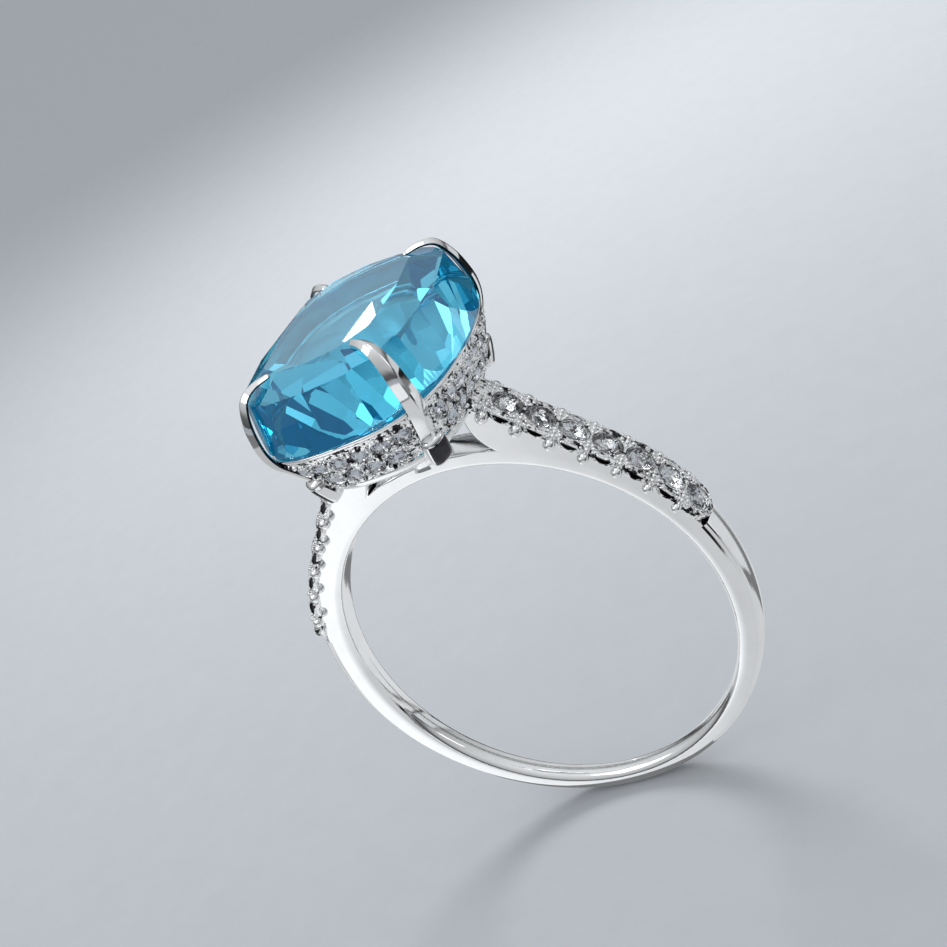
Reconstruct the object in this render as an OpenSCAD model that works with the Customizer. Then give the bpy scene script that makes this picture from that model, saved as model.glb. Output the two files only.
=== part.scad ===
// Cocktail ring: a narrow polished hoop with cathedral shoulders, a pave deck of clear stones on each
// shoulder, and a four-claw basket that holds one large cushion-cut blue stone.
// Frame: the origin is the middle of the finger hole. +X runs to the right shoulder, +Y runs along the
// finger, and +Z goes up through the centre stone.

/* [Finger hole] */
// Inside diameter of the hoop
finger_d = 17.3; // [16.5:0.1:18.2]

/* [Hoop] */
// Thickness of the hoop at its lowest point
hoop_bottom_t = 0.85; // [0.7:0.05:1]
// Thickness of the hoop at the sides
hoop_side_t = 1.25; // [1.15:0.05:1.35]
// Thickness of the bridge that passes under the basket
bridge_t = 0.7; // [0.6:0.05:0.8]
// Width of the hoop at its lowest point
hoop_bottom_w = 1.1; // [0.9:0.1:1.4]
// Width of the hoop at the top, under the basket
hoop_top_w = 1.7; // [1.6:0.05:1.75]

/* [Shoulders] */
// Angle from the top at which each pave deck ends on the hoop
deck_end_angle = 75; // [74:0.5:76]
// Angle from the top at which the deck leaves the hoop's curve and runs straight to the basket
deck_bend_angle = 48; // [46:0.5:50]
// Distance of the top of the deck from the centre of the finger hole
deck_r = 10.1; // [10.05:0.05:10.2]
// Thickness of the deck plate
deck_t = 0.4; // [0.35:0.05:0.45]
// Width of the deck plate
deck_w = 2.1; // [2:0.05:2.3]

/* [Small stones] */
// Number of stones on each shoulder
shoulder_stones = 7; // [6:1:7]
// Diameter of a shoulder stone
shoulder_stone_d = 1.32; // [1.2:0.02:1.34]
// Radius of a side prong of the deck
prong_r = 0.24; // [0.2:0.01:0.25]
// Diameter of a gallery stone
gallery_stone_d = 0.8; // [0.7:0.05:0.85]

/* [Basket] */
// Half length of the lower rail across the finger
lower_rail_a = 3.2; // [3.1:0.05:3.3]
// Half length of the lower rail along the finger
lower_rail_b = 4; // [3.8:0.1:4.2]
// Half length of the upper rail across the finger
upper_rail_a = 4.25; // [4.2:0.05:4.3]
// Half length of the upper rail along the finger
upper_rail_b = 5.3; // [5.2:0.05:5.35]
// Height of the underside of the lower rail
lower_rail_z = 10.75; // [10.7:0.05:10.8]
// Height of the underside of the upper rail
upper_rail_z = 13.05; // [13:0.05:13.1]
// Thickness of the gallery wall
gallery_t = 0.45; // [0.4:0.05:0.5]

/* [Centre stone] */
// Half width of the stone at its girdle
stone_a = 4.45; // [4.4:0.05:4.5]
// Half length of the stone at its girdle
stone_b = 5.5; // [5.4:0.05:5.6]
// Height of the middle of the girdle
girdle_z = 13.6; // [13.55:0.05:13.65]
// Height of the table
table_z = 16.5; // [16.45:0.05:16.5]
// Half width of the table
table_a = 2.75; // [2.7:0.05:2.9]
// Half length of the table
table_b = 3.8; // [3.7:0.05:3.9]

/* [Hidden] */
$fn = 64;
slack = 0.01;
deep = 8;
far = 20;

bore_r = finger_d / 2;
bridge_r = bore_r + bridge_t;
hoop_r = bore_r + hoop_side_t;
hoop_rise = hoop_side_t - hoop_bottom_t;
hoop_bottom_z = -(bore_r + hoop_bottom_t);

metal = [0.9, 0.91, 0.92];
blue = [0.1, 0.6, 0.85];
clear = [0.95, 0.97, 1];

// Rounded-rectangle outline of the basket and stone: 2 is an ellipse, higher is squarer
squareness = 2.9;
outline_steps = 48;

// The straight run of the deck, from the bend to the basket
deck_inner_x = 3.3;
run_dir = [-cos(deck_bend_angle), sin(deck_bend_angle)];
bend_point = deck_r * [sin(deck_bend_angle), cos(deck_bend_angle)];
run_length = (bend_point[0] - deck_inner_x) / cos(deck_bend_angle);
arc_length = deck_r * (deck_end_angle - deck_bend_angle) * PI / 180;
deck_length = run_length + arc_length;

// Places along the deck, from the basket: the first pair of prongs, then a stone between each two pairs
first_prong = 0.9;
deck_rim = 0.06;
stone_pitch = (deck_length - first_prong - deck_rim) / shoulder_stones;

// The shoulder's end that faces the basket: its foot on the bridge, its waist and its top
shoulder_foot_x = 3.15;
shoulder_waist = [2.6, 9.8];
shoulder_top_x = 2.8;

// The rails, and the hollow base that stands on the bridge and carries the lower rail
rail_h = 0.4;
rail_t = 0.6;
base_foot_a = 0.85;
base_foot_b = 0.95;
base_inset = 0.45;
base_t = 0.32;
base_floor_z = 9.75;

// Girdle and pavilion of the centre stone
girdle_h = 0.16;
culet_z = 10.05;
stone_steps = 24;
crown_share = 0.8;
crown_spread = 0.77;
waist_share = 0.5;
waist_a = 0.6;
waist_b = 0.63;
keel_a = 0.1;
keel_b = 0.25;

// How deep the small stones sit in their seats, and the play round them
stone_sink = 0.06;
gallery_stone_sink = 0.02;
seat_play = 0.02;

// Side prongs of the deck: how far out they stand, and their lower and upper ends on the deck's frame
prong_out = 0.07;
prong_low = -0.36;
prong_high = -0.1;

// The rows of gallery stones: the height of each row, its number of places round the basket, and the
// distance in plan that it keeps from the claws. The lower row also keeps clear of the claws' feet.
gallery_z0 = lower_rail_z + rail_h;
rows = [[gallery_z0 + 0.55, 28, 0.96], [gallery_z0 + 1.42, 32, 0.82]];
table_step = 3;

// Claws: points on the middle line of the claw in the +X +Y corner, then the half width and the half
// depth of its section at each point, and the depth of its flat back
claw_line = [[2.5, 3.45, 10.85], [2.72, 3.72, 11.6], [3.05, 4.08, 12.4], [3.38, 4.46, 13.2],
             [3.5, 4.6, 13.9], [3.46, 4.61, 14.6], [3.35, 4.52, 15.35], [3.07, 4.32, 16.1],
             [2.62, 3.97, 16.4], [2.12, 3.6, 16.44]];
claw_width = [0.36, 0.38, 0.4, 0.42, 0.42, 0.4, 0.36, 0.3, 0.24, 0.19];
claw_depth = [0.2, 0.21, 0.23, 0.25, 0.25, 0.24, 0.22, 0.19, 0.16, 0.15];
claw_back = [0.1, 0.03, 0.06, 0.1, 0.12, 0.12, 0.12, 0.11, 0.1, 0.06];
claw_steps = 2;
claw_sides = 12;

// Barrel-shaped foot of each claw: radius, length, bevel, and its place from the claw's lower end
foot_r = 0.5;
foot_h = 1.36;
foot_bevel = 0.14;
foot_rise = 0.4;
foot_out = 0.1;

// ---- Outlines ----

function sign_power(v, p) = sign(v) * pow(abs(v), p);

// Point of the rounded-rectangle outline with half lengths a and b, at the angle t
function outline_point(a, b, t) = [a * sign_power(cos(t), 2 / squareness),
                                   b * sign_power(sin(t), 2 / squareness)];

function outline(a, b, steps = outline_steps) =
    [for (i = [0:steps - 1]) outline_point(a, b, (i + 0.5) * 360 / steps)];

// Half lengths of the basket's outside at the height z
function basket_share(z) = (z - lower_rail_z) / (upper_rail_z - lower_rail_z);
function basket_a(z) = lower_rail_a + (upper_rail_a - lower_rail_a) * basket_share(z);
function basket_b(z) = lower_rail_b + (upper_rail_b - lower_rail_b) * basket_share(z);

// The same outline as points at the height z
function layer(a, b, z, steps = outline_steps) = [for (p = outline(a, b, steps)) [p[0], p[1], z]];

// Closed solid through a stack of rings of points, from the lowest ring up; each ring runs
// anticlockwise when it is seen from above
module stack(rings) {
    n = len(rings[0]);
    last = (len(rings) - 1) * n;
    polyhedron(
        points = [for (ring = rings) each ring],
        faces = concat(
            [[for (k = [0:n - 1]) k]],
            [for (j = [0:n:last - n], k = [0:n - 1]) [j + k, j + n + k, j + n + (k + 1) % n]],
            [for (j = [0:n:last - n], k = [0:n - 1]) [j + k, j + n + (k + 1) % n, j + (k + 1) % n]],
            [[for (k = [n - 1:-1:0]) last + k]]));
}

// Solid slice of the basket between two heights, moved inwards by inset
module basket_slice(z0, z1, inset = 0) {
    stack([layer(basket_a(z0) - inset, basket_b(z0) - inset, z0),
           layer(basket_a(z1) - inset, basket_b(z1) - inset, z1)]);
}

// Hollow band of the basket between two heights
module basket_band(z0, z1, thickness) {
    difference() {
        basket_slice(z0, z1);
        translate([0, 0, -slack]) basket_slice(z0, z1 + 2 * slack, thickness);
    }
}

// Prism along the finger from an outline given as [x, z] points
module across_finger(width) {
    rotate([90, 0, 0]) linear_extrude(width, center = true) children();
}

// Cylinder along the finger
module finger_cylinder(r, width, rise = 0) {
    translate([0, 0, rise]) rotate([90, 0, 0]) cylinder(r = r, h = width, center = true);
}

// Everything between two angles from the top, on the +X side
module sector(from, to, width) {
    across_finger(width)
        polygon([[0, 0], for (angle = [from, (from + to) / 2, to]) far * [sin(angle), cos(angle)]]);
}

// ---- Hoop ----

// Wedge that gives the hoop its width, narrow at the bottom and wide at the top
module width_wedge() {
    low = hoop_bottom_z - 1;
    high = bridge_r + 3;
    slope = (hoop_top_w - hoop_bottom_w) / (bridge_r - hoop_bottom_z) / 2;
    low_w = hoop_bottom_w / 2 - slope;
    high_w = hoop_top_w / 2 + slope * (high - bridge_r);
    rotate([90, 0, 90]) linear_extrude(2 * far, center = true)
        polygon([[-low_w, low], [low_w, low], [high_w, high], [-high_w, high]]);
}

module hoop() color(metal) difference() {
    intersection() {
        width_wedge();
        union() {
            finger_cylinder(bridge_r, deep);
            difference() {
                finger_cylinder(hoop_r, deep, hoop_rise);
                across_finger(deep + 1)
                    polygon([[0, 0], far * [sin(deck_end_angle), cos(deck_end_angle)], [far, far],
                             [-far, far], far * [-sin(deck_end_angle), cos(deck_end_angle)]]);
            }
        }
    }
    finger_cylinder(bore_r, deep + 2);
}

// ---- Shoulders and pave decks ----

// Places its children on the deck at the distance s from the basket: local Z is the deck's outward
// normal, local X runs along the deck away from the basket
module on_deck(s) {
    angle = s < run_length ? deck_bend_angle
                           : deck_bend_angle + (s - run_length) / deck_r * 180 / PI;
    base = s < run_length ? bend_point + (run_length - s) * run_dir
                          : deck_r * [sin(angle), cos(angle)];
    translate([base[0], 0, base[1]]) rotate([0, angle, 0]) children();
}

function stone_place(i) = first_prong + (i - 0.5) * stone_pitch;
function prong_place(i) = first_prong + (i - 1) * stone_pitch;

// Curved and straight stretch of the deck's path, filled down to the depth under its top surface
module deck_stretch(top, width) {
    difference() {
        union() {
            intersection() {
                finger_cylinder(deck_r - top, width);
                sector(deck_bend_angle - 1, deck_end_angle, width + 1);
            }
            run_from = (deck_r - top) * [sin(deck_bend_angle), cos(deck_bend_angle)];
            run_to = run_from + (run_from[0] - shoulder_top_x) / cos(deck_bend_angle) * run_dir;
            across_finger(width)
                polygon([[shoulder_top_x, shoulder_waist[1]], shoulder_waist,
                         [shoulder_foot_x, bridge_r * cos(asin(shoulder_foot_x / bridge_r))],
                         0.8 * deck_r * [sin(deck_bend_angle / 2), cos(deck_bend_angle / 2)],
                         0.7 * run_from, run_from, run_to]);
        }
        finger_cylinder(bridge_r, width + 1);
    }
}

// Space above the lower rail that the basket fills
module basket_room() {
    translate([0, 0, lower_rail_z]) linear_extrude(deep) polygon(outline(lower_rail_a, lower_rail_b));
    basket_slice(lower_rail_z, upper_rail_z);
}

// Short post with round ends that stands half in the deck's edge
module deck_prong(side) {
    translate([0, side * (deck_w / 2 + prong_out), 0]) {
        translate([0, 0, prong_low]) cylinder(r = prong_r, h = prong_high - prong_low, $fn = 24);
        for (z = [prong_low, prong_high]) translate([0, 0, z]) sphere(r = prong_r, $fn = 24);
    }
}

module prong_row(side) {
    for (i = [1:shoulder_stones]) on_deck(prong_place(i)) deck_prong(side);
}

// Round brilliant: its girdle's top edge lies at the height 0
module small_stone(d, grow = 0) {
    r = d / 2 + grow;
    rotate_extrude($fn = 32)
        polygon([[0, 0.16 * d + grow], [0.55 * r, 0.16 * d + grow], [r, grow], [r, -0.04 * d],
                 [0, -0.43 * d - 2 * grow]]);
}

// Seat of one deck stone: a straight mouth and a cone under it
module deck_seat() {
    translate([0, 0, -stone_sink]) {
        small_stone(shoulder_stone_d, seat_play);
        cylinder(d = shoulder_stone_d + 2 * seat_play, h = 1, $fn = 32);
    }
}

module deck_seats() {
    for (i = [1:shoulder_stones]) on_deck(stone_place(i)) deck_seat();
}

module shoulder() {
    difference() {
        intersection() {
            deck_stretch(deck_t, deep);
            width_wedge();
        }
        basket_room();
        deck_seats();
    }
}

// The plate's far end is round in plan
module deck_end_round() {
    on_deck(deck_length - deck_w / 2) {
        cylinder(d = deck_w, h = deep, center = true, $fn = 48);
        translate([-far / 2, 0, 0]) cube([far, deck_w, deep], center = true);
    }
}

module pave_deck() {
    difference() {
        intersection() {
            deck_stretch(0, deck_w);
            deck_end_round();
        }
        deck_stretch(deck_t, deck_w + 1);
        basket_room();
        deck_seats();
        prong_row(1);
        prong_row(-1);
    }
}

module deck_stone(i) {
    on_deck(stone_place(i)) translate([0, 0, -stone_sink]) small_stone(shoulder_stone_d);
}

module right_shoulder() color(metal) shoulder();
module left_shoulder() color(metal) mirror([1, 0, 0]) shoulder();
module right_pave_deck() color(metal) pave_deck();
module left_pave_deck() color(metal) mirror([1, 0, 0]) pave_deck();
module right_front_prongs() color(metal) prong_row(-1);
module right_back_prongs() color(metal) prong_row(1);
module left_front_prongs() color(metal) mirror([1, 0, 0]) prong_row(-1);
module left_back_prongs() color(metal) mirror([1, 0, 0]) prong_row(1);
module right_stone(i) color(clear) deck_stone(i);
module left_stone(i) color(clear) mirror([1, 0, 0]) deck_stone(i);

// ---- Centre stone ----

module stone_body() {
    crown_z = girdle_z + crown_share * (table_z - girdle_z);
    waist_z = girdle_z - waist_share * (girdle_z - culet_z);
    stack([layer(keel_a * stone_a, keel_b * stone_b, culet_z, stone_steps),
           layer(waist_a * stone_a, waist_b * stone_b, waist_z, stone_steps),
           layer(stone_a, stone_b, girdle_z - girdle_h / 2, stone_steps),
           layer(stone_a, stone_b, girdle_z + girdle_h / 2, stone_steps),
           layer(table_a + crown_spread * (stone_a - table_a), table_b + crown_spread * (stone_b - table_b),
                 crown_z, stone_steps),
           layer(table_a, table_b, table_z, stone_steps)]);
}

module center_stone() color(blue) stone_body();

// ---- Basket ----

// Smooth curve through a list's values: between the items k and k + 1, at the share u
function item(list, k) = list[max(0, min(len(list) - 1, k))];
function smooth(list, k, u) =
    let (p0 = item(list, k - 1), p1 = item(list, k), p2 = item(list, k + 1), p3 = item(list, k + 2))
    0.5 * (2 * p1 + (p2 - p0) * u + (2 * p0 - 5 * p1 + 4 * p2 - p3) * u * u
           + (3 * p1 - p0 - 3 * p2 + p3) * u * u * u);

claw_last = (len(claw_line) - 1) * claw_steps;
function claw_at(list, j) =
    j < claw_last ? smooth(list, floor(j / claw_steps), (j % claw_steps) / claw_steps)
                  : list[len(list) - 1];

function unit(v) = v / norm(v);

// One ring of points round the claw at the step j
function claw_ring(j) =
    let (here = claw_at(claw_line, j),
         along = unit(claw_at(claw_line, min(j + 1, claw_last)) - claw_at(claw_line, max(j - 1, 0))),
         side = unit(cross(along, unit([lower_rail_b, lower_rail_a, 0]))),
         out = cross(side, along),
         w = claw_at(claw_width, j), d = claw_at(claw_depth, j), back = claw_at(claw_back, j))
    [for (k = [0:claw_sides - 1]) let (t = k * 360 / claw_sides)
        here - w * cos(t) * side + (sin(t) >= 0 ? d * sin(t) : back * max(-1, 2.2 * sin(t))) * out];

// The claw's foot stands against the outside of the basket's lower corner
module claw_foot() {
    up = unit(claw_line[1] - claw_line[0]);
    out = unit([lower_rail_b, lower_rail_a, 0]);
    difference() {
        translate(claw_line[0] + foot_rise * up + foot_out * out)
            rotate([0, acos(up[2]), atan2(up[1], up[0])]) rotate_extrude($fn = 32)
                polygon([[0, -foot_h / 2], [foot_r - foot_bevel, -foot_h / 2],
                         [foot_r, foot_bevel - foot_h / 2], [foot_r, foot_h / 2 - foot_bevel],
                         [foot_r - foot_bevel, foot_h / 2], [0, foot_h / 2]]);
        basket_slice(lower_rail_z - 1, upper_rail_z);
    }
}

// Claw in the +X +Y corner: its flat back hugs the basket and the stone
module claw() {
    stack([for (j = [0:claw_last]) claw_ring(j)]);
    claw_foot();
}

module claw_back_right() color(metal) claw();
module claw_back_left() color(metal) mirror([1, 0, 0]) claw();
module claw_front_right() color(metal) mirror([0, 1, 0]) claw();
module claw_front_left() color(metal) mirror([1, 0, 0]) mirror([0, 1, 0]) claw();

// Hollow base: its foot stands on the bridge, and it widens up to the lower rail
module basket_base() color(metal) difference() {
    top_a = lower_rail_a - base_inset;
    top_b = lower_rail_b - base_inset;
    stack([layer(base_foot_a, base_foot_b, 0.9 * bridge_r),
           layer(base_foot_a, base_foot_b, bridge_r),
           layer(top_a, top_b, lower_rail_z)]);
    stack([layer(base_foot_a - base_t, base_foot_b - base_t, base_floor_z),
           layer(top_a - base_t, top_b - base_t, lower_rail_z + slack)]);
    finger_cylinder(bridge_r, deep);
}

module rail_ring() basket_band(lower_rail_z, lower_rail_z + rail_h, rail_t);

module lower_rail() color(metal) rail_ring();

// Pairs of the distance round the basket and the angle there, at the height z
function round_table(z) =
    let (p = [for (t = [0:table_step:360 + table_step]) outline_point(basket_a(z), basket_b(z), t)])
    [for (d = 0, i = 0; i <= 360 / table_step; d = d + norm(p[i + 1] - p[i]), i = i + 1)
        [d, i * table_step]];

// Distance in plan from the gallery at the angle t to the nearest claw's middle line
function claw_distance(t, z) =
    let (p = outline_point(basket_a(z), basket_b(z), t),
         claw_x = lookup(z, [for (q = claw_line) [q[2], q[0]]]),
         claw_y = lookup(z, [for (q = claw_line) [q[2], q[1]]]))
    norm([abs(p[0]) - claw_x, abs(p[1]) - claw_y]);

// Angles of one row's stones, evenly spaced round the basket, without those that the claws cover
function row_angles(row) =
    let (table = round_table(row[0]), length = table[len(table) - 1][0])
    [for (i = [0:row[1] - 1]) let (t = lookup((i + 0.5) * length / row[1], table))
        if (claw_distance(t, row[0]) > row[2]) t];

// Places its children on the gallery wall, at the angle t and the height z, with local Z outwards
module on_gallery(t, z) {
    p = outline_point(basket_a(z), basket_b(z), t);
    tangent = outline_point(basket_a(z), basket_b(z), t + 1) - outline_point(basket_a(z), basket_b(z), t - 1);
    lean = atan2(upper_rail_a - lower_rail_a, upper_rail_z - lower_rail_z);
    translate([p[0], p[1], z]) rotate([0, 90 + lean, atan2(-tangent[0], tangent[1])]) children();
}

module gallery_stone_set(from, to) {
    for (row = rows, t = row_angles(row))
        if ((t - from + 360) % 360 < to - from)
            on_gallery(t, row[0]) translate([0, 0, -gallery_stone_sink]) small_stone(gallery_stone_d);
}

module gallery_seats() {
    for (row = rows, t = row_angles(row))
        on_gallery(t, row[0])
            cylinder(d = gallery_stone_d + 2 * seat_play, h = 3 * gallery_t, center = true, $fn = 16);
}

module gallery_wall() color(metal) difference() {
    basket_band(gallery_z0, upper_rail_z, gallery_t);
    gallery_seats();
}

module upper_rail() color(metal) difference() {
    basket_band(upper_rail_z, upper_rail_z + rail_h, rail_t);
    stone_body();
}

module gallery_stones_right() color(clear) gallery_stone_set(-45, 45);
module gallery_stones_back() color(clear) gallery_stone_set(45, 135);
module gallery_stones_left() color(clear) gallery_stone_set(135, 225);
module gallery_stones_front() color(clear) gallery_stone_set(225, 315);

hoop();
right_shoulder();
left_shoulder();
right_pave_deck();
left_pave_deck();
right_front_prongs();
right_back_prongs();
left_front_prongs();
left_back_prongs();
basket_base();
lower_rail();
gallery_wall();
upper_rail();
claw_front_right();
claw_front_left();
claw_back_right();
claw_back_left();
center_stone();
gallery_stones_right();
gallery_stones_back();
gallery_stones_left();
gallery_stones_front();
for (i = [1:shoulder_stones]) right_stone(i);
for (i = [1:shoulder_stones]) left_stone(i);
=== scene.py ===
"""Cocktail ring: a polished hoop with cathedral shoulders, pave decks, and a four-claw basket that
holds one large cushion-cut blue stone. Lengths in this script are in millimetres until a mesh is
written. Angles round the hoop are measured from its top, towards +X. Front is -Y and back is +Y."""
import math
import random

import bmesh
import bpy
from mathutils import Matrix, Vector


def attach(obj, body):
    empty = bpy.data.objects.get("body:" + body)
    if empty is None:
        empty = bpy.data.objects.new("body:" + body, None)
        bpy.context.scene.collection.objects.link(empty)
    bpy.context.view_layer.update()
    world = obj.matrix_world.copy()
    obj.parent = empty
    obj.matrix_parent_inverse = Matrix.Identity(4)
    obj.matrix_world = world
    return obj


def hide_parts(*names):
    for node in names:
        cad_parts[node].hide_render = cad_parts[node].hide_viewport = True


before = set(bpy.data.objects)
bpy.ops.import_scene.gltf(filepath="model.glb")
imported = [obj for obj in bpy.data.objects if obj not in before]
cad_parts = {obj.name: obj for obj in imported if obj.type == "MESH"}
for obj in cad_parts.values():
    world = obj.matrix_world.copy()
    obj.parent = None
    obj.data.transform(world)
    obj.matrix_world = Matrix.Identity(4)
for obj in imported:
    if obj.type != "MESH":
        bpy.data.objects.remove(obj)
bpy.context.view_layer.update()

MM = 0.001

# Hoop
BORE_R = 8.65
BRIDGE_R = 9.35
OUTER_R = 9.9
OUTER_RISE = 0.4
BOTTOM_Z = -9.5
BOTTOM_HALF_W = 0.55
WIDTH_SLOPE = 0.3 / (BRIDGE_R - BOTTOM_Z)
OUTER_CROWN = 0.05
GROOVE_D = 0.085
GROOVE_GAP = 0.02

# Shoulders and decks
DECK_END = 75.0
DECK_BEND = 48.0
DECK_R = 10.1
DECK_T = 0.4
DECK_HALF_W = 1.05
DECK_INNER_X = 3.3
DECK_START = 0.18
DECK_TIP = 0.35
FIRST_PRONG = 0.9
DECK_RIM = 0.06
STONES = 7
SMALL_D = 1.32
SMALL_SEAT_D = 0.34
PRONG_Y = DECK_HALF_W + 0.07
BULB_Z = -0.34
NECK_R = 0.13
NECK_Y = 0.93
# Hollows in the decks' sides, and the rims that hang round them
HOLLOW_Z = -0.14
HOLLOW_HALF_L = 0.36
HOLLOW_HALF_H = 0.09
RIM_HALF_L = 0.47
RIM_DROP = 0.29
RIM_T = 0.055
# Free inner end of a shoulder, under the basket
SHOULDER_FOOT_X = 3.15
SHOULDER_WAIST = Vector((2.42, 0, 9.75))
SHOULDER_TOP_X = 2.74
SHOULDER_HEEL = Vector((3.258, 0, 10.88))

# Basket
SQUARE = 2.9
LOW_A, LOW_B, LOW_Z = 3.2, 4.0, 10.75
HIGH_A, HIGH_B, HIGH_Z = 4.25, 5.3, 13.05
RAIL_H = 0.4
RAIL_T = 0.6
WALL_T = 0.45
GALLERY_D = 0.8
GALLERY_SEAT_D = 0.24
ROWS = ((LOW_Z + RAIL_H + 0.55, 28, 0.96), (LOW_Z + RAIL_H + 1.42, 32, 0.82))

# Centre stone
STONE_A, STONE_B = 4.45, 5.5
GIRDLE_Z = 13.6
GIRDLE_H = 0.16
TABLE_Z = 16.5
CULET_Z = 10.05

rng = random.Random(7)

# ---------------------------------------------------------------- materials


def new_material(name):
    material = bpy.data.materials.new(name)
    material.use_nodes = True
    tree = material.node_tree
    return material, tree, tree.nodes["Principled BSDF"]


def object_coordinates(tree, scale):
    coordinates = tree.nodes.new("ShaderNodeTexCoord")
    mapping = tree.nodes.new("ShaderNodeMapping")
    mapping.inputs["Scale"].default_value = scale
    tree.links.new(coordinates.outputs["Object"], mapping.inputs["Vector"])
    return mapping.outputs["Vector"]


def noise(tree, vector, detail=3.0, roughness=0.6):
    node = tree.nodes.new("ShaderNodeTexNoise")
    node.inputs["Scale"].default_value = 1.0
    node.inputs["Detail"].default_value = detail
    node.inputs["Roughness"].default_value = roughness
    tree.links.new(vector, node.inputs["Vector"])
    return node.outputs["Fac"]


def to_range(tree, value, low, high, from_low=0.3, from_high=0.7):
    node = tree.nodes.new("ShaderNodeMapRange")
    node.inputs["From Min"].default_value = from_low
    node.inputs["From Max"].default_value = from_high
    node.inputs["To Min"].default_value = low
    node.inputs["To Max"].default_value = high
    tree.links.new(value, node.inputs["Value"])
    return node.outputs["Result"]


def metal(name, color, dark_color, rough, scratch, texture=(5000, 42000, 5000), depth=0.000004,
          clouding=(900, 900, 900), spread=(0.3, 0.7)):
    """Polished metal: faint clouding in colour and gloss, and fine polishing lines in the bump."""
    material, tree, shader = new_material(name)
    shader.inputs["Metallic"].default_value = 1.0
    clouds = noise(tree, object_coordinates(tree, clouding), 2.0)
    mix = tree.nodes.new("ShaderNodeMix")
    mix.data_type = "RGBA"
    mix.inputs["A"].default_value = (*dark_color, 1)
    mix.inputs["B"].default_value = (*color, 1)
    tree.links.new(to_range(tree, clouds, 0.0, 1.0, *spread), mix.inputs["Factor"])
    tree.links.new(mix.outputs["Result"], shader.inputs["Base Color"])
    smear = noise(tree, object_coordinates(tree, (2600, 2600, 2600)), 4.0)
    tree.links.new(to_range(tree, smear, rough[0], rough[1]), shader.inputs["Roughness"])
    lines = noise(tree, object_coordinates(tree, texture), 2.0)
    bump = tree.nodes.new("ShaderNodeBump")
    bump.inputs["Strength"].default_value = scratch
    bump.inputs["Distance"].default_value = depth
    tree.links.new(lines, bump.inputs["Height"])
    tree.links.new(bump.outputs["Normal"], shader.inputs["Normal"])
    return material


def gem(name, color, ior, volume_color=None, density=0.0, painted_glow=(0, 0, 0)):
    """Clear stone: polished, with a trace of polishing haze on its facets and faint painted light that
    shines within.
    """
    material, tree, shader = new_material(name)
    shader.inputs["Base Color"].default_value = (*color, 1)
    shader.inputs["Transmission Weight"].default_value = 1.0
    shader.inputs["IOR"].default_value = ior
    # Emission: painted light that shines from inside the stone
    shader.inputs["Emission Color"].default_value = (*painted_glow, 1)
    shader.inputs["Emission Strength"].default_value = 1.0
    haze = noise(tree, object_coordinates(tree, (700, 700, 700)), 2.0)
    tree.links.new(to_range(tree, haze, 0.0, 0.012), shader.inputs["Roughness"])
    if volume_color:
        volume = tree.nodes.new("ShaderNodeVolumeAbsorption")
        volume.inputs["Color"].default_value = (*volume_color, 1)
        volume.inputs["Density"].default_value = density
        tree.links.new(volume.outputs["Volume"], tree.nodes["Material Output"].inputs["Volume"])
    return material


POLISHED = metal("polished_rhodium", (0.95, 0.955, 0.96), (0.90, 0.905, 0.91), (0.035, 0.09), 0.25)
# Hand-cut setting metal: its pits carry painted shade, since the colour goes dark where its bump sinks
CRUST_PAINTED_PIT_SHADE = metal("hand_cut_crust_painted_pit_shade", (0.95, 0.955, 0.96), (0.03, 0.03, 0.035), (0.05, 0.12), 1.0,
              (3400, 3400, 3400), 0.00011, (3400, 3400, 3400), (0.41, 0.47))
# Dark metal for recesses: painted shade in the seats' mouths and in the decks' side hollows
RECESS_PAINTED_SHADE = metal("painted_recess_shade", (0.07, 0.07, 0.075), (0.03, 0.03, 0.035), (0.25, 0.4), 0.25)
# Near-black metal: painted shade and reflection on the claws' narrow sides and on the knobs' fronts
PAINTED_SHADE_AND_REFLECTION = metal("shaded_foot", (0.05, 0.05, 0.055), (0.02, 0.02, 0.025), (0.05, 0.1), 0.1)
# Its last colour is painted light: emission inside the stone
BLUE = gem("blue_topaz", (0.95, 1.0, 1.0), 1.66, (0.055, 0.775, 0.917), 160.0, (0.0015, 0.025, 0.042))
CLEAR = gem("clear_zirconia", (0.97, 0.98, 1.0), 1.7)
# Metal under the big stone
SATIN = metal("satin_metal", (0.74, 0.745, 0.75), (0.66, 0.665, 0.67), (0.35, 0.45), 0.1)
FOIL = metal("mirror_foil", (0.93, 0.94, 0.96), (0.86, 0.87, 0.9), (0.02, 0.05), 0.1)
MARKED_FOIL = metal("marked_foil", (0.95, 0.955, 0.96), (0.04, 0.04, 0.045), (0.03, 0.08), 0.8,
                    (2600, 2600, 2600), 0.00006, (2300, 2300, 2300), (0.43, 0.5))

# ---------------------------------------------------------------- mesh helpers


def bridge_rings(bm, rings, closed=False):
    """Skin through rings of points. Each ring is a closed loop with the same number of points."""
    rows = [[bm.verts.new(p) for p in ring] for ring in rings]
    pairs = list(zip(rows, rows[1:])) + ([(rows[-1], rows[0])] if closed else [])
    for low, high in pairs:
        count = len(low)
        for k in range(count):
            bm.faces.new((low[k], low[(k + 1) % count], high[(k + 1) % count], high[k]))
    if not closed:
        bm.faces.new(rows[0][::-1])
        bm.faces.new(rows[-1])
    return rows


def circle(count):
    """Angles spaced evenly round a circle."""
    return [2 * math.pi * k / count for k in range(count)]


def clean(bm, distance=0.0004):
    bmesh.ops.remove_doubles(bm, verts=bm.verts, dist=distance)
    bmesh.ops.dissolve_degenerate(bm, edges=bm.edges, dist=distance)
    bmesh.ops.recalc_face_normals(bm, faces=bm.faces)


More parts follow.
